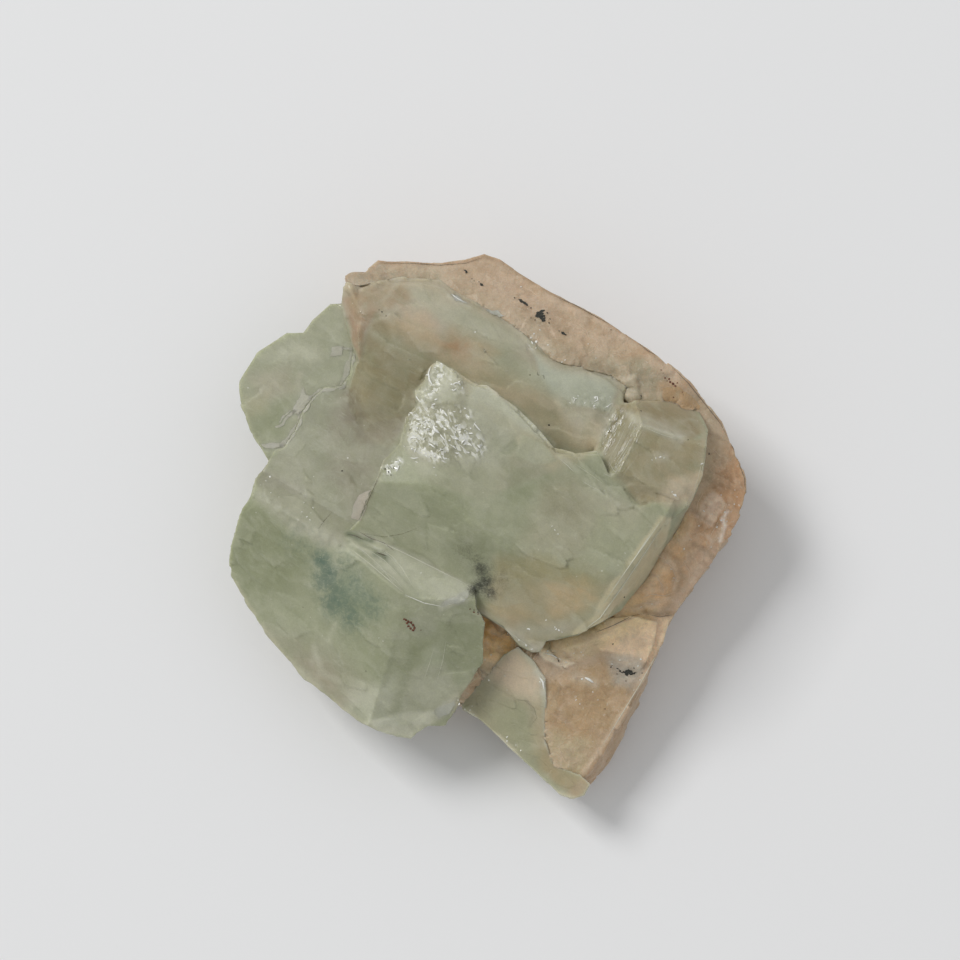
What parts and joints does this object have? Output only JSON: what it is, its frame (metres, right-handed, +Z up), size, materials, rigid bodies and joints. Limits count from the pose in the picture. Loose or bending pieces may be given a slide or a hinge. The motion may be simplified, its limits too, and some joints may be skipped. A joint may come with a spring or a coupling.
{
  "type": "fluorite specimen",
  "caption": "Hand-sized mineral specimen: pale green translucent cleaved crystals grown together on a peach matrix, resting on its flat broken base.",
  "frame": {"origin": "middle of the bounding box's bottom, on the plane of the resting face", "axes": "+Z up out of the resting face, +Y towards the high back edge of the matrix, +X to the right with the corner crystal in front"},
  "size_m": [0.0776, 0.0814, 0.03],
  "materials": {
    "peach_matrix": "broken peach rock, uneven and slightly waxy, with darker orange stains and black specks",
    "green_crystals": "cloudy pale green translucent crystal, smooth cleaved faces with frosted patches and veils",
    "corner_crystal": "cloudy pale green translucent crystal with a pinkish top, smooth cleaved faces"
  },
  "bodies": {
    "root": {"peach_matrix": "peach_matrix", "green_crystals": "green_crystals", "corner_crystal": "corner_crystal"}
  },
  "joints": []
}
